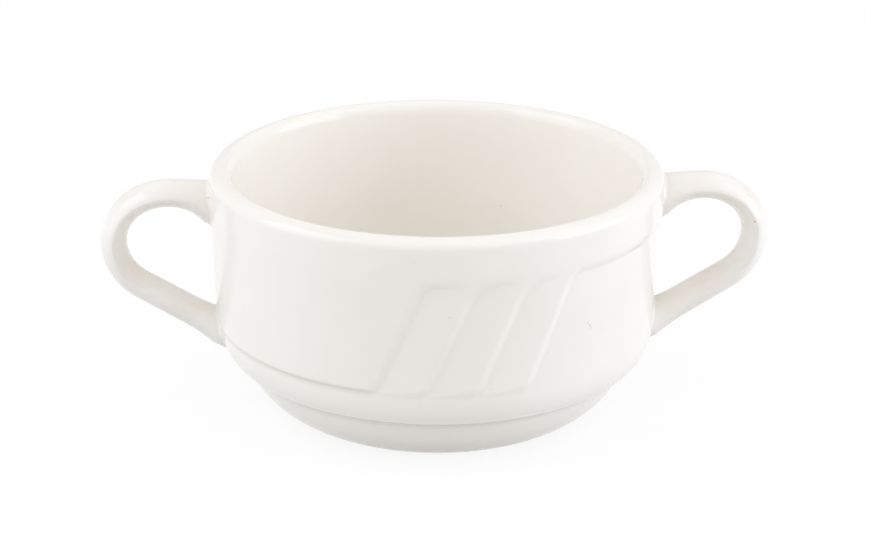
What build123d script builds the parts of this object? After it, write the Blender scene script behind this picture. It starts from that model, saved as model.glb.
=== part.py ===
from build123d import *
import math
import os

# Two-handled stacking soup bowl in glazed hotel china, in millimetres.
# The origin is the middle of the resting plane, +Z is up and the handles lie along X.
# The front is -Y, and angles round the bowl are counted from -Y towards +X.

# Bowl
rim_diameter = 108.0
bowl_height = 59.0
lip_thickness = 5.2
lip_outer_round = 3.2
upright_band = 8.0
wall_draft = 2.0
inner_draft = 1.5
floor_level = 6.0
inner_floor_round = 22.0

# Stacking shoulder and foot
shoulder_inset = 2.75
shoulder_height = 19.0
ledge_height = 13.4
ledge_width = 3.5
ledge_outer_round = 1.1
ledge_inner_round = 0.8
foot_diameter = 71.5
foot_ring_width = 4.5
foot_recess = 2.2
foot_round = 0.6
foot_curve_radius = 20.5

# Moulded relief
ledge_relief = 0.6
panel_depth = 0.55
relief_bottom = 22.0
relief_top_drop = 10.0
relief_edge_round = 0.28
flute_count = 3
flute_pitch = 12.6
flute_lean = 22.8
flute_corner_radius = 5.0
first_line_angle = -13.2
panel_end_angle = 90.0
cut_margin = 1.0

# Handles
handle_reach = 26.2
handle_thickness = 6.3
handle_width = 10.6
crown_drop = 6.3
crown_out = 10.0
bend_drop = 18.1
upper_root_drop = 10.0
lower_root_height = 18.3
root_width_gain = 0.8
upper_root_gain = 2.0
lower_root_gain = 1.0
flare_length = 10.0
root_sink = 3.0
handle_stations = 20

# Slip that sticks the handles on
slip_thickness = 0.4
slip_bead = 1.0
slip_bead_length = 2.2
slip_edge = 0.15
slip_ledge_gap = 0.6

# Levels and radii that follow from the sizes above
rim_radius = rim_diameter / 2
draft_top = bowl_height - upright_band
relief_top = bowl_height - relief_top_drop
relief_middle = (relief_bottom + relief_top) / 2
ledge_outer_radius = rim_radius - shoulder_inset
ledge_inner_radius = ledge_outer_radius - ledge_width
foot_radius = foot_diameter / 2
foot_inner_radius = foot_radius - foot_ring_width
lip_inner_round = lip_thickness - lip_outer_round
lip_top_radius = rim_radius - lip_outer_round
inner_turn = math.radians(inner_draft)
inner_round_level = floor_level + inner_floor_round
inner_wall_rise = bowl_height - lip_inner_round - inner_round_level
inner_rounds_apart = inner_floor_round + lip_inner_round + inner_wall_rise * math.sin(inner_turn)
inner_round_radius = lip_top_radius - inner_rounds_apart / math.cos(inner_turn)


def proud_radius(z):
    """Outer radius of the raised level of the wall."""
    return rim_radius - max(draft_top - z, 0) * math.tan(math.radians(wall_draft))


def sunk_radius(z):
    """Outer radius of the plain band under the relief."""
    return proud_radius(z) - ledge_relief


def wall_outline(gap):
    """Points of the outer wall from the stacking ledge up to the lip, moved outwards by a gap."""
    return [
        (ledge_outer_radius + gap, ledge_height),
        (sunk_radius(shoulder_height) + gap, shoulder_height),
        (sunk_radius(relief_bottom) + gap, relief_bottom - gap),
        (proud_radius(relief_bottom) + gap, relief_bottom - gap),
        (rim_radius + gap, draft_top),
        (rim_radius + gap, bowl_height - lip_outer_round),
    ]


def around(radius, angle):
    """Point in a level plane at an angle round the bowl."""
    turn = math.radians(angle)
    return (radius * math.sin(turn), -radius * math.cos(turn))


def turned_core(inset):
    """Solid of revolution inside the raised level of the wall, or inside a level sunk below it."""
    with BuildPart() as core:
        with BuildSketch(Plane.XZ):
            with BuildLine():
                Polyline(
                    (0, 0),
                    (proud_radius(0) - inset, 0),
                    (rim_radius - inset, draft_top),
                    (0, draft_top),
                    close=True,
                )
            make_face()
        revolve(axis=Axis.Z)
    return core.part


def slanted_window(width):
    """Prism through the wall at the front: a slanted panel with its top left corner rounded."""
    lean = math.tan(math.radians(flute_lean))
    bottom = relief_bottom - cut_margin - relief_middle
    top = relief_top - relief_middle
    left = -line_spacing / 2
    depth = rim_radius / 4
    with BuildPart() as prism:
        with BuildSketch(Plane((0, depth - rim_radius, relief_middle), (1, 0, 0), (0, -1, 0))) as outline:
            with BuildLine():
                Polyline(
                    (left + bottom * lean, bottom),
                    (left + width + bottom * lean, bottom),
                    (left + width + top * lean, top),
                    (left + top * lean, top),
                    close=True,
                )
            make_face()
            fillet(outline.vertices().sort_by_distance((left + top * lean, top))[0], flute_corner_radius)
        extrude(amount=depth + cut_margin)
    return prism.part


def sector_prism(start, end):
    """Prism through the wall between two angles, as tall as the relief."""
    inside = rim_radius / 2
    outside = rim_radius + cut_margin
    middle = (start + end) / 2
    with BuildPart() as prism:
        with BuildSketch(Plane.XY.offset(relief_bottom - cut_margin)):
            with BuildLine():
                Line(around(inside, start), around(outside, start))
                ThreePointArc(around(outside, start), around(outside, middle), around(outside, end))
                Line(around(outside, end), around(inside, end))
                ThreePointArc(around(inside, end), around(inside, middle), around(inside, start))
            make_face()
        extrude(amount=relief_top - relief_bottom + cut_margin)
    return prism.part


# Distance between slanted lines, and the tip that sinks a flute's left side by the panel's depth
line_spacing = 2 * rim_radius * math.sin(math.radians(flute_pitch / 2))
lean_turn = math.radians(flute_lean)
flute_tip = math.degrees(math.atan(panel_depth / (line_spacing * math.cos(lean_turn))))
line_angle = math.radians(flute_pitch / 2)
line_point = around(proud_radius(relief_middle), flute_pitch / 2) + (relief_middle,)
line_direction = (
    math.cos(line_angle) * math.sin(lean_turn),
    math.sin(line_angle) * math.sin(lean_turn),
    math.cos(lean_turn),
)

# Cutter for one flute: deepest beside its left line, level with the raised wall at the next line
flute_window = slanted_window(line_spacing + cut_margin)
flute_floor = turned_core(0).rotate(Axis(line_point, line_direction), -flute_tip)
with BuildPart() as flute_cut:
    add(flute_window)
    add(flute_floor, mode=Mode.SUBTRACT)

# Run-out of the recessed panel: a flat facet tangent to its floor, level with the wall at the handle
panel_line_angle = first_line_angle + (flute_count + 0.5) * flute_pitch
floor_radius = proud_radius(relief_middle) - panel_depth
run_out = math.degrees(math.acos(floor_radius / proud_radius(relief_middle)))
run_out_start = panel_end_angle - run_out
run_out_sector = sector_prism(run_out_start, panel_end_angle + run_out)
draft_turn = math.radians(wall_draft)
facet_point = around(floor_radius, run_out_start) + (relief_middle,)
facet_normal = around(math.cos(draft_turn), run_out_start) + (-math.sin(draft_turn),)
with BuildPart() as run_out_cut:
    add(run_out_sector)
    split(bisect_by=Plane(facet_point, z_dir=facet_normal), keep=Keep.TOP)

# Cutter for the recessed panel, from the last slanted line to its run-out at the handle
panel_window = slanted_window(2.5 * line_spacing)
panel_sector = sector_prism(panel_line_angle + flute_pitch, run_out_start)
panel_floor = turned_core(panel_depth)
with BuildPart() as panel_cut:
    add(panel_window, rotation=(0, 0, panel_line_angle))
    add(panel_sector)
    add(panel_floor, mode=Mode.SUBTRACT)
    add(run_out_cut.part)

# Bowl body: one pressed shell with lip, stacking ledge, foot ring and the relief on both sides
with BuildPart() as bowl_body:
    with BuildSketch(Plane.XZ) as half_section:
        wall = wall_outline(0)
        with BuildLine():
            Polyline(
                (0, floor_level),
                (0, foot_recess),
                (foot_inner_radius, foot_recess),
                (foot_inner_radius, 0),
                (foot_radius, 0),
            )
            RadiusArc((foot_radius, 0), (ledge_inner_radius, ledge_height), -foot_curve_radius)
            Polyline((ledge_inner_radius, ledge_height), *wall)
            CenterArc((lip_top_radius, wall[-1][1]), lip_outer_round, start_angle=0, arc_size=90)
            lip_turn = CenterArc(
                (lip_top_radius, bowl_height - lip_inner_round),
                lip_inner_round,
                start_angle=90,
                arc_size=90 - inner_draft,
            )
            floor_turn = CenterArc(
                (inner_round_radius, inner_round_level),
                inner_floor_round,
                start_angle=-90,
                arc_size=90 - inner_draft,
            )
            Line(lip_turn @ 1, floor_turn @ 1)
            Line(floor_turn @ 0, (0, floor_level))
        make_face()
        rounds = [
            ((foot_inner_radius, foot_recess), foot_recess / 2),
            ((foot_inner_radius, 0), foot_round),
            ((foot_radius, 0), foot_round),
            ((ledge_inner_radius, ledge_height), ledge_inner_round),
            (wall[0], ledge_outer_round),
            (wall[2], relief_edge_round),
            (wall[3], relief_edge_round),
        ]
        for corner, radius in rounds:
            fillet(half_section.vertices().sort_by_distance(corner)[0], radius)
    revolve(axis=Axis.Z)
    for side in (0, 180):
        for flute in range(flute_count):
            middle_angle = first_line_angle + (flute + 0.5) * flute_pitch
            add(flute_cut.part, rotation=(0, 0, side + middle_angle), mode=Mode.SUBTRACT)
        add(panel_cut.part, rotation=(0, 0, side), mode=Mode.SUBTRACT)

# Wall space that the handle stops short of, by the thickness of the slip
with BuildPart() as slip_space:
    with BuildSketch(Plane.XZ):
        with BuildLine():
            wall = wall_outline(slip_thickness)
            Polyline((0, ledge_height), *wall, (0, wall[-1][1]), close=True)
        make_face()
    revolve(axis=Axis.Z)

# Centreline of the right handle: an arched upper limb, a round outer bend and a straight lower limb
crown = (rim_radius + crown_out, bowl_height - crown_drop)
bend_centre = (rim_radius + crown_out, bowl_height - bend_drop)
bend_reach = handle_reach - crown_out - handle_thickness / 2
upper_root = (rim_radius - root_sink, bowl_height - upper_root_drop)
lower_root = (sunk_radius(lower_root_height) - root_sink, lower_root_height - root_sink / 2)
arch_run = crown[0] - upper_root[0]
arch_rise = crown[1] - upper_root[1]
arch_radius = (arch_run**2 + arch_rise**2) / (2 * arch_rise)
root_run = lower_root[0] - bend_centre[0]
root_fall = lower_root[1] - bend_centre[1]
root_turn = math.acos(bend_reach / math.hypot(root_run, root_fall))
touch_angle = math.degrees(math.atan2(root_fall, root_run) + root_turn)
with BuildLine(Plane.XZ) as centreline:
    RadiusArc(upper_root, crown, arch_radius)
    EllipticalCenterArc(bend_centre, bend_reach, crown[1] - bend_centre[1], start_angle=0, arc_size=90)
    lower_bend = CenterArc(bend_centre, bend_reach, start_angle=touch_angle, arc_size=-touch_angle)
    Line(lower_bend @ 0, lower_root)
handle_path = centreline.wire()
path_length = handle_path.length
starts_low = (handle_path @ 0).Z < (handle_path @ 1).Z


def path_point(distance):
    """Point and direction of the centreline at a distance from its upper root."""
    along = path_length - distance if starts_low else distance
    point = handle_path.position_at(along, PositionMode.LENGTH)
    direction = handle_path.tangent_at(along, PositionMode.LENGTH)
    return point, -direction if starts_low else direction


def flare(distance):
    """Share of a root's flare at a distance from that root, from 1 in the wall to 0 on the limb."""
    return min(max(1 - (distance - root_sink) / flare_length, 0), 1) ** 2


def handle_section(distance):
    """Half width and half thickness of the handle at a distance from its upper root."""
    upper = flare(distance)
    lower = flare(path_length - distance)
    half_width = handle_width / 2 + root_width_gain * (upper + lower)
    half_thickness = handle_thickness / 2 + upper_root_gain * upper + lower_root_gain * lower
    return half_width, half_thickness


# Right handle: an oval strap lofted along the centreline, with flared roots cut to the wall
with BuildPart() as right_handle:
    for station in range(handle_stations):
        place = path_length * station / (handle_stations - 1)
        point, direction = path_point(place)
        with BuildSketch(Plane(point, (0, 1, 0), direction)):
            Ellipse(*handle_section(place))
    loft()
    add(slip_space.part, mode=Mode.SUBTRACT)
    split(bisect_by=Plane.XY.offset(ledge_height + slip_ledge_gap), keep=Keep.TOP)


def slip_collar(places):
    """Collar of slip round a root: places run from inside the wall out to where the bead ends."""
    with BuildPart() as collar:
        for place, extra in zip(places, (slip_bead, slip_bead, slip_edge)):
            point, direction = path_point(place)
            half_width, half_thickness = handle_section(place)
            half_height = half_thickness / abs(direction.X)
            with BuildSketch(Plane(point, (0, 1, 0), (1, 0, 0))):
                Ellipse(half_width + extra, half_height + extra)
        loft()
    return collar.part


# Slip between each root and the wall, with the bead that the pressed-on handle squeezes out
bead_reaches = (0, root_sink, root_sink + slip_bead_length)
upper_collar = slip_collar(bead_reaches)
with BuildPart() as right_upper_slip_joint:
    add(upper_collar)
    add(bowl_body.part, mode=Mode.SUBTRACT)
    add(right_handle.part, mode=Mode.SUBTRACT)

lower_slope = abs(path_point(path_length)[1].X)
lower_collar = slip_collar([path_length - reach / lower_slope for reach in bead_reaches])
with BuildPart() as right_lower_slip_joint:
    add(lower_collar)
    add(bowl_body.part, mode=Mode.SUBTRACT)
    add(right_handle.part, mode=Mode.SUBTRACT)
    split(bisect_by=Plane.XY.offset(ledge_height + slip_ledge_gap), keep=Keep.TOP)

# The left handle and its slip are the right ones turned half round
with BuildPart() as left_handle:
    add(right_handle.part, rotation=(0, 0, 180))

with BuildPart() as left_upper_slip_joint:
    add(right_upper_slip_joint.part, rotation=(0, 0, 180))

with BuildPart() as left_lower_slip_joint:
    add(right_lower_slip_joint.part, rotation=(0, 0, 180))

pieces = {
    "bowl_body": bowl_body,
    "right_handle": right_handle,
    "left_handle": left_handle,
    "right_upper_slip_joint": right_upper_slip_joint,
    "right_lower_slip_joint": right_lower_slip_joint,
    "left_upper_slip_joint": left_upper_slip_joint,
    "left_lower_slip_joint": left_lower_slip_joint,
}
os.makedirs("parts", exist_ok=True)
for name, piece in pieces.items():
    piece.part.label = name
    export_step(piece.part, f"parts/{name}.step")
    print(name, "solids", len(piece.solids()), "volume", round(piece.part.volume, 1))
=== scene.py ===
import math

import bmesh
import bpy
import numpy as np
from mathutils import Matrix, Vector


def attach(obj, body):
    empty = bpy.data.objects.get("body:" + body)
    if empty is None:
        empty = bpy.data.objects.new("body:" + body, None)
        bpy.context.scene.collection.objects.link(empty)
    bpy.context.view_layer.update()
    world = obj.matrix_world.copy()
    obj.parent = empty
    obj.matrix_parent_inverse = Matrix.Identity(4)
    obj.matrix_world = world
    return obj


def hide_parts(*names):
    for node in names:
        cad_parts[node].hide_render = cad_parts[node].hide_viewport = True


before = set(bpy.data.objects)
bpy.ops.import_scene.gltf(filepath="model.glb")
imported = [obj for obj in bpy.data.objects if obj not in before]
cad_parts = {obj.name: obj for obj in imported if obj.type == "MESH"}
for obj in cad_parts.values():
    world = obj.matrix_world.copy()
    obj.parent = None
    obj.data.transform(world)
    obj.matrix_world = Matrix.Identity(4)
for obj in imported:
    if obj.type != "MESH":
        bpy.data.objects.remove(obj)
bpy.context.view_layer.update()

# Sizes are in millimetres. Angles round the bowl are in degrees, from the front towards the right handle
MM = 0.001

# Lip and wall
RIM_RADIUS = 54.0
BOWL_HEIGHT = 59.0
LIP_OUTER_ROUND = 3.2
LIP_OUTER_FALL = 2.35
LIP_INNER_ROUND = 2.0
LIP_INNER_FALL = 3.3
LIP_CREST = RIM_RADIUS - LIP_OUTER_ROUND
LIP_LEVEL = BOWL_HEIGHT - LIP_OUTER_FALL
DRAFT_TOP = 51.0
WALL_DRAFT = math.tan(math.radians(2.0))

# Inside
INNER_DRAFT = math.radians(1.5)
FLOOR_LEVEL = 6.0
FLOOR_ROUND = 22.0

# Shoulder, the crease under it, the lower bowl and the foot ring
SHOULDER_TOP = 20.83
CREASE_RADIUS = 46.95
CREASE_HEIGHT = 12.6
CREASE_ROUND = 0.5
SHOULDER_FALL = SHOULDER_TOP - CREASE_HEIGHT
FOOT_CURVE = 20.5
FOOT_RADIUS = 35.75
FOOT_INNER = 31.25
FOOT_RECESS = 2.2
FOOT_ROUND = 0.6

# Moulded relief: a ledge under the raised wall, three flutes and the panel that they start
LEDGE_RELIEF = 0.6
PANEL_DEPTH = 0.85
DEPTH_RISE = 12.0
RELIEF_BOTTOM = 22.0
RELIEF_TOP = 49.0
RELIEF_MIDDLE = (RELIEF_BOTTOM + RELIEF_TOP) / 2
WALL_RADIUS = RIM_RADIUS - (DRAFT_TOP - RELIEF_MIDDLE) * WALL_DRAFT
FLUTE_COUNT = 3
FLUTE_PITCH = 12.6
FLUTE_LEAN = math.radians(22.8)
FIRST_LINE = -13.2
PANEL_END = 90.0
RUN_OUT = 8.2
TOP_CORNERS = [5.0, 9.5, 9.5, 5.5]
FOOT_CORNER = 4.0
FLANK_ROUND = 1.1
FLANK_FOOT = 1.3
LEDGE_FLANK = 0.5
FLUTE_FOOT_FLANK = 2.2

# Glaze: how far it rounds the relief, and how much painted shade and thick glaze lie in lines, ledge, crease
# and foot
GLAZE_SOFTENING = 0.25
POOL_AND_SHADE_BLUR = 1.5
DISC_REACH = 2
DISC_STEPS = 9
# Painted shade, partly glaze pooling: darker lines and ledge, strongest round the first line, stand in for
# the left lamp's cast shadow
LINE_POOL_AND_SHADE = 0.27
LINE_SHADE_LEAST = 0.25
LINE_SHADE_FADE = 45.0
LEDGE_POOL_AND_SHADE = 0.35
LEDGE_SHADE_DROP = 0.3
LEDGE_SHADE_REACH = 0.8
LEDGE_SHADE_END = FIRST_LINE - 5
LEDGE_SHADE_FADE = 3.0
BELOW_LEDGE = 1.0
ABOVE_LEDGE = 1.5
# Painted shade, partly glaze pooling, in the crease; painted contact shadow darkening the foot towards the
# bottom
CREASE_POOL_AND_SHADE = 0.62
CREASE_REACH = 1.2
FOOT_PAINTED_SHADE = 0.9
FOOT_REACH = 2.2

# Handles: section, points of the centreline as reach and height, and the flare at the roots
HANDLE_HALF_WIDTH = 5.5
HANDLE_HALF_THICKNESS = 3.15
UPPER_ROOT = (51.0, 49.0)
CROWN = (64.0, 52.7)
BEND_CENTRE = (64.0, 40.9)
BEND_REACH = 13.04
LOWER_ROOT = (49.26, 16.8)
ROOT_SINK = 3.0
ROOT_REACH = 3.5
FLARE_LENGTH = 10.0
ROOT_WIDTH_GAIN = 0.8
UPPER_ROOT_GAIN = 2.0
LOWER_ROOT_GAIN = 1.0

# How tight the edge of the handle's section is, by share of the way along it, where 1 is an ellipse
HANDLE_EDGE = [(0, 1.15), (0.15, 1.4), (0.5, 1.4), (0.75, 1.05), (1, 1)]

# Slip that sticks the handles on: its bead, and how far it lies under the handle and the wall
SLIP_THICKNESS = 0.3
SLIP_FILLET = 1.1
SLIP_RUN_ON = 0.5
SLIP_SINK = 0.06
SLIP_DEPTH = 0.4
SLIP_WALL_SHARE = 0.12
SLIP_HANDLE_SHARE = 0.15
LOWEST_SLIP = 13.6
ROOT_LEVELLING = 0.7

# Rings of the bowl's mesh, the wall's as height and rows up to the next, closest at the relief's edges
RECESS_RINGS = (0, 4, 12, 21, 28)
WALL_RINGS = [
    (SHOULDER_TOP, 3), (RELIEF_BOTTOM - 0.5, 10), (RELIEF_BOTTOM + 0.5, 5),
    (RELIEF_BOTTOM + 2, 6), (RELIEF_BOTTOM + 5.5, 12), (RELIEF_TOP - 6, 8),
    (RELIEF_TOP - 2, 20), (RELIEF_TOP + 2, 4), (LIP_LEVEL, 0),
]
INNER_WALL_RINGS = (0.12, 0.3, 0.5, 0.7, 0.88)
FLOOR_RINGS = (18, 10, 4, 0)

# In degrees: the shoulder's lowest and highest ring, and what the lower bowl's curve leaves for rounds
SHOULDER_SPAN = (78, 4)
FOOT_CURVE_ENDS = (1.2, 2.2)

# Steps of the section's curves
SHOULDER_STEPS = 16
CURVE_STEPS = 14
LIP_OUTER_STEPS = 10
LIP_INNER_STEPS = 9
CORNER_STEPS = 4

# The bowl is turned in sectors, as sweep and steps, finer where the flutes are
BOWL_SECTORS = [(48, 160), (-132, 110)]
SECTOR_START = FIRST_LINE - 4

# Fineness of the handles and the slip
HANDLE_SIDES = 48
HANDLE_RINGS = 120
FILLET_STEPS = 9
LINE_STEPS = 60
CROWN_STEPS = 80
STRAND_POINTS = 700
STRAND_SMOOTHING = 21

# Small distances: points closer than the first are one, and the second is a margin for choosing points
MERGE_DISTANCE = 0.002
POINT_MARGIN = 0.01

# Specks in the glaze, as x, y, z and radius, and the share of the radius that has full strength
BOWL_SPECKS = [
    (-8.3, -53.4, 54.1, 0.2), (-0.6, -53.5, 41.0, 0.27), (-15.0, -50.8, 27.8, 0.22),
    (9.3, -51.8, 23.0, 0.2), (22.2, -47.6, 29.8, 0.2), (31.6, -42.0, 34.5, 0.35),
    (32.1, -41.6, 33.7, 0.45), (32.4, -41.3, 33.0, 0.35), (19.6, 44.0, 32.4, 0.33),
    (-16.6, 45.0, 26.4, 0.25),
]
HANDLE_SPECKS = [(73.7, 0.6, 39.0, 0.45), (72.2, 0.3, 35.3, 0.4), (76.0, -5.4, 44.8, 0.3)]
SLIP_SPECKS = [(-54.2, -3.4, 54.6, 0.2), (-54.2, -5.3, 53.1, 0.3), (-54.3, -6.0, 49.6, 0.25)]
SPECK_STRENGTH = 0.75
SPECK_CORE = 1 / 3

# Look of the glaze: clouds and ripples by their size, and the range of noise that a cloud fades over
CLOUD_SIZE = 14.0
CLOUD_FADE = (0.38, 0.68)
RIPPLE_SIZE = 4.0
RIPPLE_HEIGHT = 0.1
RIPPLE_STRENGTH = 0.05
GLAZE_ROUGHNESS = 0.1
GLAZE_IOR = 1.46
# Tint of the painted shade and thick glaze in the relief's corners, the crease and at the foot
POOLED_GLAZE_AND_SHADE = "D9D2C6"

# Sockets of a Mix node that mixes colours
MIX_FROM, MIX_TO, MIX_OUT = 6, 7, 2

# Studio, in metres and watts, with each lamp's place and power
FLOOR_SIZE = 6.0
FLOOR_PAPER = "D8D8D7"
FLOOR_GLOW = 1.075
GLOW_SHARE = 0.82
LAMPS = {
    "right_low_softbox": ((0.95, -0.22, 0.28), 3.5),
    "right_high_softbox": ((0.72, -0.18, 0.75), 1.4),
    "left_low_softbox": ((-0.93, -0.26, 0.28), 1.7),
    "left_high_softbox": ((-0.74, -0.12, 0.75), 2.5),
}
LAMP_WIDTH = 0.78
LAMP_HEIGHT = 0.52
LAMP_AIM = Vector((0, 0, 0.03))
LAMP_LIGHT = "E4EEFF"
SKY_LIGHT = "FDF9F6"
SKY_STRENGTH = 0.76

# Camera at the photograph's place: 21 degrees up, a little left of the front
VIEW_DISTANCE = 600.0
VIEW_YAW = math.radians(3.8)
VIEW_RISE = math.radians(21.016)
VIEW_ROLL = math.radians(0.312)
VIEW_AIM = Vector((0, 0, 31)) * MM
VIEW_LENS = 102.69
VIEW_SENSOR = 36.0
VIEW_SHIFT = (-0.00103, -0.00362)
VIEW_START = 10.0


def deselect_all():
    """Leaves edit mode and deselects everything, the frame's nodes too."""
    if bpy.context.object and bpy.context.object.mode != "OBJECT":
        bpy.ops.object.mode_set(mode="OBJECT")
    bpy.ops.object.select_all(action="DESELECT")


def finish_piece(piece):
    """Merges doubles, turns the faces outwards and shades the piece smoothly."""
    bpy.ops.mesh.select_all(action="SELECT")
    bpy.ops.mesh.remove_doubles(threshold=MERGE_DISTANCE * MM)
    bpy.ops.mesh.normals_make_consistent(inside=False)
    bpy.ops.object.mode_set(mode="OBJECT")
    bpy.ops.object.shade_smooth()
    piece.select_set(False)
    return piece


def turned_copy(piece, name):
    """Copy of a piece with its own mesh, turned half round the bowl's axis."""
    deselect_all()
    piece.select_set(True)
    bpy.context.view_layer.objects.active = piece
    bpy.ops.object.duplicate()
    copy = bpy.context.object
    copy.name = name
    copy.data.name = name
    bpy.ops.transform.rotate(value=math.pi, orient_axis="Z", center_override=(0, 0, 0))
    bpy.ops.object.transform_apply(location=True, rotation=True, scale=True)
    return copy


def corner_round(before, corner, after, radius):
    """Points of the round that replaces a corner of a section."""
    corner = Vector(corner)
    way_in = (Vector(before) - corner).normalized()
    way_out = (Vector(after) - corner).normalized()
    half = way_in.angle(way_out) / 2
    centre = corner + (way_in + way_out).normalized() * radius / math.sin(half)
    start = corner + way_in * radius / math.tan(half) - centre
    end = corner + way_out * radius / math.tan(half) - centre
    turn = start.angle(end)
    points = []
    for step in range(CORNER_STEPS + 1):
        share = step / CORNER_STEPS
        swing = start * math.sin((1 - share) * turn) + end * math.sin(share * turn)
        points.append(tuple(centre + swing / math.sin(turn)))
    return points


def arc(centre, radius, start, end, steps, rise=None):
    """Points of an arc between two angles in degrees, or of an ellipse where a rise is given too."""
    rise = rise or radius
    angles = [math.radians(start + (end - start) * step / steps) for step in range(steps + 1)]
    return [(centre[0] + radius * math.cos(a), centre[1] + rise * math.sin(a)) for a in angles]


def angle_round(x, y):
    """Angle round the bowl, from the front towards the right handle."""
    return np.degrees(np.arctan2(x, -y))


def fold_to_front(angle):
    """Angle on the front half with the same relief, because the back is the front turned half round."""
    return (angle + 90) % 180 - 90


def proud_radius(z):
    """Outer radius of the raised level of the wall."""
    return RIM_RADIUS - np.maximum(DRAFT_TOP - z, 0) * WALL_DRAFT


def shoulder_radius(z):
    """Outer radius of the shoulder: a quarter of an ellipse from the wall in to the crease."""
    inset = float(proud_radius(SHOULDER_TOP)) - LEDGE_RELIEF - CREASE_RADIUS
    fall = np.clip((SHOULDER_TOP - z) / SHOULDER_FALL, 0, 1)
    return CREASE_RADIUS + inset * np.sqrt(1 - fall**2)


def flank(inward):
    """Share of a step's depth at a distance inside its line: it rounds over slowly and ends in a corner."""
    return np.clip((inward + FLANK_ROUND) / (FLANK_ROUND + FLANK_FOOT), 0, 1) ** 2


def mould_relief(side, z):
    """Depth of the mould's relief under the raised wall, at a distance round it from the first line."""
    lean, sine, cosine = math.tan(FLUTE_LEAN), math.sin(FLUTE_LEAN), math.cos(FLUTE_LEAN)
    pitch = WALL_RADIUS * math.radians(FLUTE_PITCH)
    panel_end = WALL_RADIUS * math.radians(PANEL_END - FIRST_LINE)
    run_out = WALL_RADIUS * math.radians(RUN_OUT)
    across = side - (z - RELIEF_MIDDLE) * lean
    deepening = np.clip((z - RELIEF_BOTTOM) / DEPTH_RISE, 0, 1)
    full_depth = LEDGE_RELIEF + (PANEL_DEPTH - LEDGE_RELIEF) * deepening

    # The ledge, whose flank is longer along the foot of the flutes
    ledge_flank = LEDGE_FLANK + (FLUTE_FOOT_FLANK - LEDGE_FLANK) * np.clip(2 * across / pitch, 0, 1)
    depth = LEDGE_RELIEF * np.clip((RELIEF_BOTTOM - z) / ledge_flank + 0.5, 0, 1)
    for line, top_corner in enumerate(TOP_CORNERS):
        past = across - line * pitch

        # Inside the flute, or the panel after the last line, with its rounded top corner
        up = z - (RELIEF_TOP - top_corner)
        along = past - top_corner / cosine + up * lean
        in_corner = (along < 0) & (along * sine + up * cosine > 0)
        inward = np.minimum(past * cosine, RELIEF_TOP - z)
        inward = np.where(in_corner, top_corner - np.hypot(along, up), inward)
        if line < FLUTE_COUNT:
            level = np.clip(1 - past / pitch, 0, 1)
        else:
            level = np.clip((panel_end - side) / run_out, 0, 1)
        depth = np.maximum(depth, full_depth * level * flank(inward))

        # The raised side of the line is rounded off where it meets the ledge
        up = z - (RELIEF_BOTTOM + FOOT_CORNER)
        along = past + FOOT_CORNER / cosine + up * lean
        in_corner = (along > 0) & (along * sine + up * cosine < 0)
        rounded_off = LEDGE_RELIEF * flank(np.hypot(along, up) - FOOT_CORNER)
        depth = np.where(in_corner & (past < FLANK_FOOT), np.maximum(depth, rounded_off), depth)
    return depth


def soft_relief(angle, z, softening):
    """Depth of the relief under its glaze: the mould's relief averaged over a small disc."""
    side = WALL_RADIUS * np.radians(fold_to_front(angle) - FIRST_LINE)
    offsets = np.linspace(-DISC_REACH, DISC_REACH, DISC_STEPS)
    weights = np.exp(-offsets**2 / 2)
    total = np.zeros_like(side)
    for dx, wx in zip(offsets, weights):
        for dz, wz in zip(offsets, weights):
            total += wx * wz * mould_relief(side + dx * softening, z + dz * softening)
    return total / weights.sum() ** 2


def wall_radius(angle, z):
    """Outer radius of the finished wall above the crease."""
    wall = proud_radius(z) - soft_relief(angle, z, GLAZE_SOFTENING)
    rise = np.clip((z - LIP_LEVEL) / LIP_OUTER_FALL, 0, 1)
    lip = RIM_RADIUS - LIP_OUTER_ROUND * (1 - np.sqrt(1 - rise**2))
    return np.where(z < SHOULDER_TOP, shoulder_radius(z), np.where(z < LIP_LEVEL, wall, lip))


def lower_bowl_curve():
    """Points of the lower bowl's curve, which leaves room for the rounds at the foot and the crease."""
    chord = Vector((CREASE_RADIUS - FOOT_RADIUS, CREASE_HEIGHT))
    across = Vector((-chord.y, chord.x)).normalized()
    middle = Vector((FOOT_RADIUS, 0)) + chord / 2
    centre = middle + across * math.sqrt(FOOT_CURVE**2 - chord.length_squared / 4)
    start = math.degrees(math.atan2(-centre.y, FOOT_RADIUS - centre.x)) + FOOT_CURVE_ENDS[0]
    end = math.degrees(math.atan2(CREASE_HEIGHT - centre.y, CREASE_RADIUS - centre.x)) - FOOT_CURVE_ENDS[1]
    return arc(centre, FOOT_CURVE, start, end, CURVE_STEPS)


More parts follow.
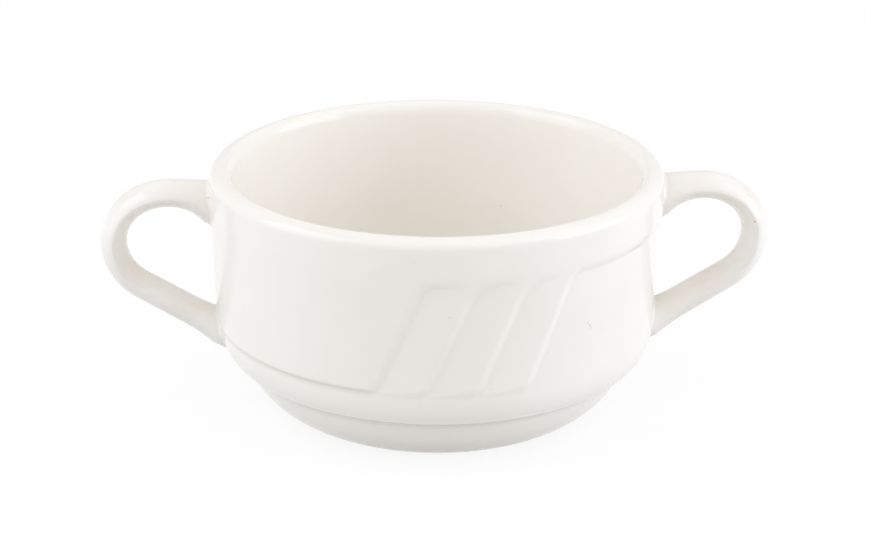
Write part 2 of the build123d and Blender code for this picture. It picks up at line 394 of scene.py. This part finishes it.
def bowl_section():
    """Half section of the bowl, from the middle of the recess under the foot round to the inner floor."""
    recess = (FOOT_INNER, FOOT_RECESS)
    foot_inner = (FOOT_INNER, 0)
    foot_outer = (FOOT_RADIUS, 0)
    lower_bowl = lower_bowl_curve()
    points = [(reach, FOOT_RECESS) for reach in RECESS_RINGS]
    points += corner_round((0, FOOT_RECESS), recess, foot_inner, FOOT_RECESS / 2)
    points += corner_round(recess, foot_inner, foot_outer, FOOT_ROUND)
    points += corner_round(foot_inner, foot_outer, lower_bowl[0], FOOT_ROUND)
    points += lower_bowl

    # Crease, shoulder and wall
    shoulder = []
    for turn in np.radians(np.linspace(*SHOULDER_SPAN, SHOULDER_STEPS)):
        z = SHOULDER_TOP - SHOULDER_FALL * math.sin(turn)
        shoulder.append((float(shoulder_radius(z)), z))
    points += corner_round(lower_bowl[-1], (CREASE_RADIUS, CREASE_HEIGHT), shoulder[0], CREASE_ROUND)
    points += shoulder
    for (low, rows), (high, _) in zip(WALL_RINGS, WALL_RINGS[1:]):
        for z in np.linspace(low, high, rows, endpoint=False):
            points.append((float(proud_radius(z)), float(z)))

    # Lip, as two quarter ellipses that meet at its crest
    draft = math.degrees(INNER_DRAFT)
    inner_level = BOWL_HEIGHT - LIP_INNER_FALL
    points += arc((LIP_CREST, LIP_LEVEL), LIP_OUTER_ROUND, 0, 90, LIP_OUTER_STEPS, LIP_OUTER_FALL)
    inner_lip = arc(
        (LIP_CREST, inner_level), LIP_INNER_ROUND, 90, 180 - draft, LIP_INNER_STEPS, LIP_INNER_FALL)
    points += inner_lip[1:]

    # Inner wall, which leans in to the floor's round, and the floor
    floor_centre = FLOOR_LEVEL + FLOOR_ROUND
    wall_rise = BOWL_HEIGHT - LIP_INNER_ROUND - floor_centre
    apart = (FLOOR_ROUND + LIP_INNER_ROUND + wall_rise * math.sin(INNER_DRAFT)) / math.cos(INNER_DRAFT)
    floor_round = arc((LIP_CREST - apart, floor_centre), FLOOR_ROUND, -draft, -90, CURVE_STEPS)
    for share in INNER_WALL_RINGS:
        points.append(tuple(Vector(inner_lip[-1]).lerp(Vector(floor_round[0]), share)))
    points += floor_round
    points += [(reach, FLOOR_LEVEL) for reach in FLOOR_RINGS]
    return points


def section_lean(z):
    """Angle in radians by which the section leans at a height, so that turned edges follow the flutes."""
    rise = min(max(z, RELIEF_BOTTOM), RELIEF_TOP) - RELIEF_MIDDLE
    return rise * math.tan(FLUTE_LEAN) / WALL_RADIUS


def draw_section():
    """Half section of the bowl as a line of edges, drawn point by point from the middle of the recess."""
    section = bowl_section()
    top = max(range(len(section)), key=lambda index: section[index][1])
    places = []
    for index, (reach, z) in enumerate(section):
        turn = math.radians(SECTOR_START - 90) + section_lean(z if index < top else RELIEF_TOP)
        places.append(Vector((reach * math.cos(turn), reach * math.sin(turn), z)) * MM)
    deselect_all()
    bpy.ops.mesh.primitive_plane_add(size=RIM_RADIUS * MM)
    line = bpy.context.object
    bpy.ops.object.mode_set(mode="EDIT")
    bpy.ops.mesh.select_all(action="SELECT")
    bpy.ops.mesh.merge(type="CENTER")
    bpy.ops.transform.translate(value=places[0])
    for start, end in zip(places, places[1:]):
        bpy.ops.mesh.extrude_vertices_move(TRANSFORM_OT_translate={"value": end - start})
    bpy.ops.object.mode_set(mode="OBJECT")
    return line


def turn_bowl():
    """Bowl: its half section is turned in two sectors by Screw modifiers, and copies make the other half."""
    bowl = draw_section()
    bowl.name = "turned_bowl"
    bpy.ops.object.duplicate()
    sectors = [bowl, bpy.context.object]
    for sector, (sweep, steps) in zip(sectors, BOWL_SECTORS):
        bpy.context.view_layer.objects.active = sector
        screw = sector.modifiers.new("turn", "SCREW")
        screw.angle = math.radians(sweep)
        screw.steps = screw.render_steps = steps
        bpy.ops.object.modifier_apply(modifier="turn")
    sectors += [turned_copy(sector, "other_half") for sector in sectors]
    for sector in sectors:
        sector.select_set(True)
    bpy.context.view_layer.objects.active = bowl
    bpy.ops.object.join()
    bpy.ops.object.mode_set(mode="EDIT")
    finish_piece(bowl)
    press_relief(bowl)
    return bowl


def press_relief(bowl):
    """Presses the relief into the wall by moving each point in by its depth, and stores the glaze pooling
    and painted shade in its corners, crease and foot.
    """
    spots = np.empty(len(bowl.data.vertices) * 3)
    bowl.data.vertices.foreach_get("co", spots)
    spots = spots.reshape(-1, 3)
    x, y, z = spots.T / MM
    reach = np.hypot(x, y)
    on_wall = (z > SHOULDER_TOP - POINT_MARGIN) & (z < DRAFT_TOP + POINT_MARGIN) & (reach > LIP_CREST)
    angle = angle_round(x[on_wall], y[on_wall])
    depth = soft_relief(angle, z[on_wall], GLAZE_SOFTENING)
    spots[on_wall, :2] *= (1 - depth / reach[on_wall])[:, None]
    bowl.data.vertices.foreach_set("co", spots.ravel())
    # Painted shade and glaze pooling, kept per point for the glaze's tint
    pooled_and_shaded = pool_and_shade_below(reach, z)
    pooled_and_shaded[on_wall] += pool_and_shade_in_relief(angle, z[on_wall], depth)
    layer = bowl.data.attributes.new("glaze_pool_and_painted_shade", "FLOAT", "POINT")
    layer.data.foreach_set("value", pooled_and_shaded)
    bowl.data.update()


def pool_and_shade_in_relief(angle, z, depth):
    """Glaze pooling and painted shade in the relief's inner corners, most round the first line and the ledge
    before it, where the left lamp's shadow falls.
    """
    front = fold_to_front(angle)
    # Painted shade in the lines' inner corners, strongest at the first line
    in_lines = np.clip(depth - soft_relief(angle, z, POOL_AND_SHADE_BLUR), 0, 1) / PANEL_DEPTH
    in_lines *= np.clip(1 - (front - FIRST_LINE) / LINE_SHADE_FADE, LINE_SHADE_LEAST, 1)
    # Painted shade along the ledge before the first line
    ledge = np.full_like(angle, RELIEF_BOTTOM)
    step = soft_relief(angle, ledge - BELOW_LEDGE, GLAZE_SOFTENING)
    step -= soft_relief(angle, ledge + ABOVE_LEDGE, GLAZE_SOFTENING)
    at_ledge = np.clip(step / LEDGE_RELIEF, 0, 1)
    at_ledge *= np.exp(-((z - RELIEF_BOTTOM + LEDGE_SHADE_DROP) / LEDGE_SHADE_REACH) ** 2)
    at_ledge *= np.clip((LEDGE_SHADE_END - front) / LEDGE_SHADE_FADE, 0, 1)
    return LINE_POOL_AND_SHADE * in_lines + LEDGE_POOL_AND_SHADE * at_ledge


def pool_and_shade_below(reach, z):
    """Glaze pooling and painted shade in the crease under the shoulder, and painted contact shadow that
    darkens the foot towards the bottom.
    """
    from_crease = np.hypot(reach - CREASE_RADIUS, z - CREASE_HEIGHT)
    pooled_and_shaded = CREASE_POOL_AND_SHADE * np.exp(-((from_crease / CREASE_REACH) ** 2))
    # Painted contact shadow: the outer foot darker towards the bottom
    return pooled_and_shaded + np.where(reach > FOOT_INNER, FOOT_PAINTED_SHADE * np.exp(-z / FOOT_REACH), 0)


def handle_line():
    """Centreline of the right handle, from its upper root: lengths along it and evenly spaced points."""
    run = CROWN[0] - UPPER_ROOT[0]
    rise = CROWN[1] - UPPER_ROOT[1]
    arch = (run**2 + rise**2) / (2 * rise)
    sweep = math.degrees(math.asin(run / arch))
    line = arc((CROWN[0], CROWN[1] - arch), arch, 90 + sweep, 90, LINE_STEPS)
    line += arc(BEND_CENTRE, BEND_REACH, 90, 0, CROWN_STEPS, CROWN[1] - BEND_CENTRE[1])[1:]

    # The bend ends where the lower limb leaves it straight for the root
    root_run = LOWER_ROOT[0] - BEND_CENTRE[0]
    root_fall = LOWER_ROOT[1] - BEND_CENTRE[1]
    swing = math.acos(BEND_REACH / math.hypot(root_run, root_fall))
    touch = math.degrees(math.atan2(root_fall, root_run) + swing)
    line += arc(BEND_CENTRE, BEND_REACH, 0, touch, LINE_STEPS)[1:]
    limb_start = Vector(line[-1])
    limb = Vector(LOWER_ROOT) - limb_start
    limb_end = limb_start + limb * (1 + ROOT_REACH / limb.length)
    line += [tuple(limb_start.lerp(limb_end, step / LINE_STEPS)) for step in range(1, LINE_STEPS + 1)]
    line = np.array(line)
    length = np.concatenate([[0], np.cumsum(np.hypot(*np.diff(line, axis=0).T))])
    even = np.linspace(0, length[-1], STRAND_POINTS)
    return even, np.stack([np.interp(even, length, line[:, 0]), np.interp(even, length, line[:, 1])], 1)


def handle_strands():
    """Lines along the right handle's surface: for each side, points from the upper root to the lower."""
    even, line = handle_line()
    ways = np.gradient(line, axis=0)
    kernel = np.ones(STRAND_SMOOTHING) / STRAND_SMOOTHING
    for axis in range(2):
        padded = np.pad(ways[:, axis], STRAND_SMOOTHING // 2, mode="edge")
        ways[:, axis] = np.convolve(padded, kernel, mode="valid")
    ways /= np.hypot(*ways.T)[:, None]
    outward = np.stack([-ways[:, 1], ways[:, 0]], 1)
    upper = np.clip(1 - (even - ROOT_SINK) / FLARE_LENGTH, 0, 1) ** 2
    lower = np.clip(1 - (even[-1] - even - ROOT_REACH - ROOT_SINK) / FLARE_LENGTH, 0, 1) ** 2
    half_width = HANDLE_HALF_WIDTH + ROOT_WIDTH_GAIN * (upper + lower)
    half_thickness = HANDLE_HALF_THICKNESS + UPPER_ROOT_GAIN * upper + LOWER_ROOT_GAIN * lower
    edge = np.interp(even / even[-1], *zip(*HANDLE_EDGE))
    strands = []
    for side in range(HANDLE_SIDES):
        turn = math.tau * side / HANDLE_SIDES
        bulge = np.copysign(abs(math.sin(turn)) ** edge, math.sin(turn))
        spot = line + (half_thickness * bulge)[:, None] * outward
        y = half_width * math.cos(turn)

        # The lowest strands level out gently above the crease
        over = (spot[:, 1] - LOWEST_SLIP) / ROOT_LEVELLING
        z = LOWEST_SLIP + ROOT_LEVELLING * np.logaddexp(0, over)
        strands.append(np.stack([spot[:, 0], y, z], 1))
    return np.array(strands)


def wall_crossings(strands):
    """For each strand, the places along it where it leaves the wall's slip and where it meets it again."""
    x, y, z = strands[..., 0], strands[..., 1], strands[..., 2]
    clear = np.hypot(x, y) - wall_radius(angle_round(x, y), z) - SLIP_THICKNESS
    middle = STRAND_POINTS // 2
    ends = []
    for row in clear:
        first = np.nonzero(row[:middle] <= 0)[0].max()
        last = np.nonzero(row[middle:] <= 0)[0].min() + middle
        start = first + row[first] / (row[first] - row[first + 1])
        end = last - row[last] / (row[last] - row[last - 1])
        ends.append((start, end))
    return np.array(ends)


def ring_at(strands, places):
    """Ring of points, one at its place along each strand, between the strand's own points."""
    steps = np.arange(STRAND_POINTS)
    ring = []
    for strand, place in zip(strands, places):
        ring.append([np.interp(place, steps, strand[:, axis]) for axis in range(3)])
    return np.array(ring)


def extrude_rings(name, rings, closed):
    """Piece drawn from one ring of points to the next: a circle is extruded and each new ring is shaped."""
    deselect_all()
    bpy.ops.mesh.primitive_circle_add(vertices=HANDLE_SIDES, radius=HANDLE_HALF_WIDTH * MM)
    piece = bpy.context.object
    piece.name = name
    bpy.ops.object.mode_set(mode="EDIT")
    bpy.ops.mesh.select_all(action="SELECT")
    mesh = bmesh.from_edit_mesh(piece.data)
    in_turn = sorted(mesh.verts, key=lambda vert: math.atan2(vert.co.y, vert.co.x) % math.tau)
    for vert, spot in zip(in_turn, rings[0]):
        vert.co = Vector(spot) * MM
    bmesh.update_edit_mesh(piece.data)
    for before, after in zip(rings, rings[1:]):
        bpy.ops.mesh.extrude_edges_move()
        mesh = bmesh.from_edit_mesh(piece.data)
        for vert in mesh.verts:
            if vert.select:
                away = before - np.array(vert.co) / MM
                vert.co = Vector(after[np.argmin((away**2).sum(axis=1))]) * MM
        bmesh.update_edit_mesh(piece.data)
    if not closed:
        bpy.ops.mesh.select_all(action="SELECT")
        bpy.ops.mesh.region_to_loop()
        bpy.ops.mesh.edge_face_add()
    return finish_piece(piece)


def model_handle(strands, ends):
    """Right handle: rings from the upper root round to the lower one, cut to the wall at both ends."""
    starts, stops = ends.T
    rings = []
    for step in range(HANDLE_RINGS + 1):
        rings.append(ring_at(strands, starts + (stops - starts) * (step / HANDLE_RINGS)))
    return extrude_rings("right_loop_handle", rings, closed=False)


def set_on_wall(spots, lift):
    """Points moved straight in or out to a height over the wall's surface."""
    reach = wall_radius(angle_round(spots[:, 0], spots[:, 1]), spots[:, 2]) + lift
    out = spots.copy()
    out[:, :2] *= (reach / np.hypot(spots[:, 0], spots[:, 1]))[:, None]
    return out


def unit(rows):
    """Rows of a table of directions, each made one long."""
    return rows / np.linalg.norm(rows, axis=1)[:, None]


def model_slip(name, strands, places, onward):
    """Slip joint: a ring with a hollow face, from the handle's surface onto the wall round its root."""
    middle_point = STRAND_POINTS // 2
    spacing = np.linalg.norm(strands[0][middle_point + 1] - strands[0][middle_point])
    run = SLIP_FILLET / spacing * onward
    corner = ring_at(strands, places)
    on_handle = ring_at(strands, places + run)
    core = on_handle.mean(axis=0)

    # The bead's edge on the wall lies beside the root, away from its middle
    middle = corner.mean(axis=0)
    along = np.roll(corner, -1, axis=0) - np.roll(corner, 1, axis=0)
    normal = unit(np.stack([corner[:, 0], corner[:, 1], np.zeros(len(corner))], 1))
    aside = unit(np.cross(normal, along))
    aside *= np.sign((aside * (corner - middle)).sum(axis=1))[:, None]
    on_wall = corner + aside * SLIP_FILLET
    on_wall[:, 2] = np.maximum(on_wall[:, 2], LOWEST_SLIP)
    on_wall = set_on_wall(on_wall, 0)
    foot = set_on_wall(corner, 0)

    # Both ends run on a little under the handle's and the wall's surface, so that no edge shows
    rings = [on_handle + unit(on_handle - foot) * SLIP_RUN_ON + unit(core - on_handle) * SLIP_SINK]
    for step in range(FILLET_STEPS + 1):
        share = step / FILLET_STEPS
        rings.append(on_handle * (1 - share) ** 2 + foot * 2 * share * (1 - share) + on_wall * share**2)
    rings.append(set_on_wall(on_wall + aside * SLIP_RUN_ON, -SLIP_SINK))
    rings.append(set_on_wall(on_wall, -SLIP_DEPTH))
    rings.append(set_on_wall(middle * SLIP_WALL_SHARE + foot * (1 - SLIP_WALL_SHARE), -SLIP_DEPTH))
    rings.append(on_handle * (1 - SLIP_HANDLE_SHARE) + core * SLIP_HANDLE_SHARE)
    rings.append(rings[0])
    return extrude_rings(name, rings, closed=True)


def linear(code):
    """Linear colour of an sRGB hex value."""
    channels = [int(code[place:place + 2], 16) / 255 for place in (0, 2, 4)]
    return [c / 12.92 if c <= 0.04045 else ((c + 0.055) / 1.055) ** 2.4 for c in channels] + [1]


def add_node(tree, kind, inputs=None, **settings):
    """Adds a node with its settings, and sets its inputs or links them to other nodes' outputs."""
    made = tree.nodes.new(kind)
    for setting, value in settings.items():
        setattr(made, setting, value)
    for socket, value in (inputs or {}).items():
        if isinstance(value, bpy.types.NodeSocket):
            tree.links.new(value, made.inputs[socket])
        else:
            made.inputs[socket].default_value = value
    return made


def empty_material(name):
    """Material with an empty node tree."""
    material = bpy.data.materials.new(name)
    material.use_nodes = True
    material.node_tree.nodes.clear()
    return material, material.node_tree


def glazed_china(name, pale, deep, specks, speck_colour):
    """Vitrified hotel china under a clear glaze: milky and warm with a wet gloss, and a few faint specks."""
    material, tree = empty_material(name)
    place = add_node(tree, "ShaderNodeTexCoord").outputs["Object"]

    # Faint clouds in the glaze, and painted shade with thicker, greyer glaze in the relief's corners, the
    # crease and at the foot
    cloud = add_node(tree, "ShaderNodeTexNoise", {
        "Vector": place, "Scale": 1 / (CLOUD_SIZE * MM), "Detail": 3})
    patch = add_node(tree, "ShaderNodeMapRange", {
        "Value": cloud.outputs["Fac"], "From Min": CLOUD_FADE[0], "From Max": CLOUD_FADE[1]})
    body = add_node(tree, "ShaderNodeMix", {
        "Factor": patch.outputs["Result"], MIX_FROM: linear(pale), MIX_TO: linear(deep)}, data_type="RGBA")
    shade_and_pooling = add_node(tree, "ShaderNodeAttribute", attribute_name="glaze_pool_and_painted_shade")
    # Painted shade: the tint darkens where the attribute holds painted shade and thick glaze
    tinted = add_node(tree, "ShaderNodeMix", {
        "Factor": shade_and_pooling.outputs["Fac"], MIX_FROM: body.outputs[MIX_OUT],
        MIX_TO: linear(POOLED_GLAZE_AND_SHADE)}, data_type="RGBA")

    # Iron specks and small marks that burnt through the glaze
    speckled = None
    for x, y, z, size in specks:
        away = add_node(tree, "ShaderNodeVectorMath", {
            0: place, 1: (x * MM, y * MM, z * MM)}, operation="DISTANCE")
        speck = add_node(tree, "ShaderNodeMapRange", {
            "Value": away.outputs["Value"], "From Min": size * MM, "From Max": size * MM * SPECK_CORE,
            "To Max": SPECK_STRENGTH}).outputs["Result"]
        if speckled is not None:
            speck = add_node(tree, "ShaderNodeMath", {0: speckled, 1: speck}, operation="MAXIMUM").outputs[0]
        speckled = speck
    marked = add_node(tree, "ShaderNodeMix", {
        "Factor": speckled, MIX_FROM: tinted.outputs[MIX_OUT],
        MIX_TO: linear(speck_colour)}, data_type="RGBA")

    # The glaze's own slight waviness, which breaks up its reflections
    ripple = add_node(tree, "ShaderNodeTexNoise", {
        "Vector": place, "Scale": 1 / (RIPPLE_SIZE * MM), "Detail": 2})
    bump = add_node(tree, "ShaderNodeBump", {
        "Height": ripple.outputs["Fac"], "Strength": RIPPLE_STRENGTH, "Distance": RIPPLE_HEIGHT * MM})
    shader = add_node(tree, "ShaderNodeBsdfPrincipled", {
        "Base Color": marked.outputs[MIX_OUT], "Roughness": GLAZE_ROUGHNESS, "IOR": GLAZE_IOR,
        "Normal": bump.outputs["Normal"]})
    add_node(tree, "ShaderNodeOutputMaterial", {"Surface": shader.outputs["BSDF"]})
    return material


def matt_paper():
    """Matt white paper: an even white to the camera and in the glaze, with the bowl's faint shadow on it."""
    material, tree = empty_material("matt_white_paper")
    paper = add_node(tree, "ShaderNodeBsdfDiffuse", {"Color": linear(FLOOR_PAPER)})
    glow = add_node(tree, "ShaderNodeEmission", {"Color": linear("FFFFFF"), "Strength": FLOOR_GLOW})
    seen = add_node(tree, "ShaderNodeMixShader", {0: GLOW_SHARE, 1: paper.outputs[0], 2: glow.outputs[0]})
    ray = add_node(tree, "ShaderNodeLightPath").outputs
    direct = add_node(tree, "ShaderNodeMath", {0: ray["Is Camera Ray"], 1: ray["Is Glossy Ray"]})
    looked_at = add_node(tree, "ShaderNodeMath", {
        0: direct.outputs[0], 1: ray["Is Transmission Ray"]}, use_clamp=True)
    shown = add_node(tree, "ShaderNodeMixShader", {
        0: looked_at.outputs[0], 1: paper.outputs[0], 2: seen.outputs[0]})
    add_node(tree, "ShaderNodeOutputMaterial", {"Surface": shown.outputs[0]})
    return material


def lay_floor():
    """Plain white floor, which keeps a faint shadow."""
    deselect_all()
    bpy.ops.mesh.primitive_plane_add(size=FLOOR_SIZE)
    floor = bpy.context.object
    floor.name = "studio_floor"
    floor.data.materials.append(matt_paper())


def hang_lamp(name, place, power):
    """Soft lamp behind a white sheet, aimed at the bowl."""
    deselect_all()
    bpy.ops.object.light_add(type="AREA", location=place)
    lamp = bpy.context.object
    lamp.name = name
    lamp.data.shape = "RECTANGLE"
    lamp.data.size = LAMP_WIDTH
    lamp.data.size_y = LAMP_HEIGHT
    lamp.data.energy = power
    lamp.data.color = linear(LAMP_LIGHT)[:3]
    lamp.rotation_euler = (LAMP_AIM - Vector(place)).to_track_quat("-Z", "Y").to_euler()


def light_sky():
    """White studio round the bowl, a little warm."""
    world = bpy.data.worlds.new("white_studio")
    bpy.context.scene.world = world
    world.use_nodes = True
    sky = world.node_tree.nodes["Background"].inputs
    sky["Color"].default_value = linear(SKY_LIGHT)
    sky["Strength"].default_value = SKY_STRENGTH


def set_camera():
    """Camera with the photograph's view of the bowl."""
    back = Vector((
        -math.sin(VIEW_YAW) * math.cos(VIEW_RISE),
        -math.cos(VIEW_YAW) * math.cos(VIEW_RISE),
        math.sin(VIEW_RISE),
    ))
    deselect_all()
    bpy.ops.object.camera_add(location=VIEW_AIM + back * VIEW_DISTANCE * MM)
    camera = bpy.context.object
    roll = Matrix.Rotation(VIEW_ROLL, 3, "Z").to_quaternion()
    camera.rotation_euler = (back.to_track_quat("Z", "Y") @ roll).to_euler()
    camera.data.sensor_width = VIEW_SENSOR
    camera.data.lens = VIEW_LENS
    camera.data.shift_x, camera.data.shift_y = VIEW_SHIFT
    camera.data.clip_start = VIEW_START * MM
    bpy.context.scene.camera = camera


# Pieces: the right handle and its slip are modelled, and turned copies make the left ones
bowl = turn_bowl()
strands = handle_strands()
ends = wall_crossings(strands)
right_handle = model_handle(strands, ends)
right_upper = model_slip("right_upper_slip_bead", strands, ends[:, 0], 1)
right_lower = model_slip("right_lower_slip_bead", strands, ends[:, 1], -1)
left_handle = turned_copy(right_handle, "left_loop_handle")
left_upper = turned_copy(right_upper, "left_upper_slip_bead")
left_lower = turned_copy(right_lower, "left_lower_slip_bead")

# Clean pressed china on the body: an even, warm milk white
bowl_china = glazed_china("ivory_glazed_china", "FAF7F0", "F9F5EE", BOWL_SPECKS, "E4D9CB")

# The same china on the handles, with the light brown clouds that tea and fingers leave
handle_china = glazed_china("tea_stained_glazed_china", "FAF8F3", "F5F0E8", HANDLE_SPECKS, "AE9C88")

# Slip squeezed out round the roots and fired under the glaze: a browner collar with small pits
slip = glazed_china("glazed_joining_slip", "F9F6EF", "F3ECE2", SLIP_SPECKS, "BFAF9C")

pieces = {
    bowl: ("bowl_body", "glazed_china", bowl_china),
    right_handle: ("right_handle", "glazed_china", handle_china),
    left_handle: ("left_handle", "glazed_china", handle_china),
    right_upper: ("right_upper_slip_joint", "glazed_slip", slip),
    right_lower: ("right_lower_slip_joint", "glazed_slip", slip),
    left_upper: ("left_upper_slip_joint", "glazed_slip", slip),
    left_lower: ("left_lower_slip_joint", "glazed_slip", slip),
}
for piece, (node_name, slot_name, material) in pieces.items():
    piece.data.materials.append(material)
    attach(piece, "root")
    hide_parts(node_name)

# Studio and camera
lay_floor()
for lamp_name, (lamp_place, lamp_power) in LAMPS.items():
    hang_lamp(lamp_name, lamp_place, lamp_power)
light_sky()
set_camera()
bpy.context.scene.view_settings.view_transform = "Standard"
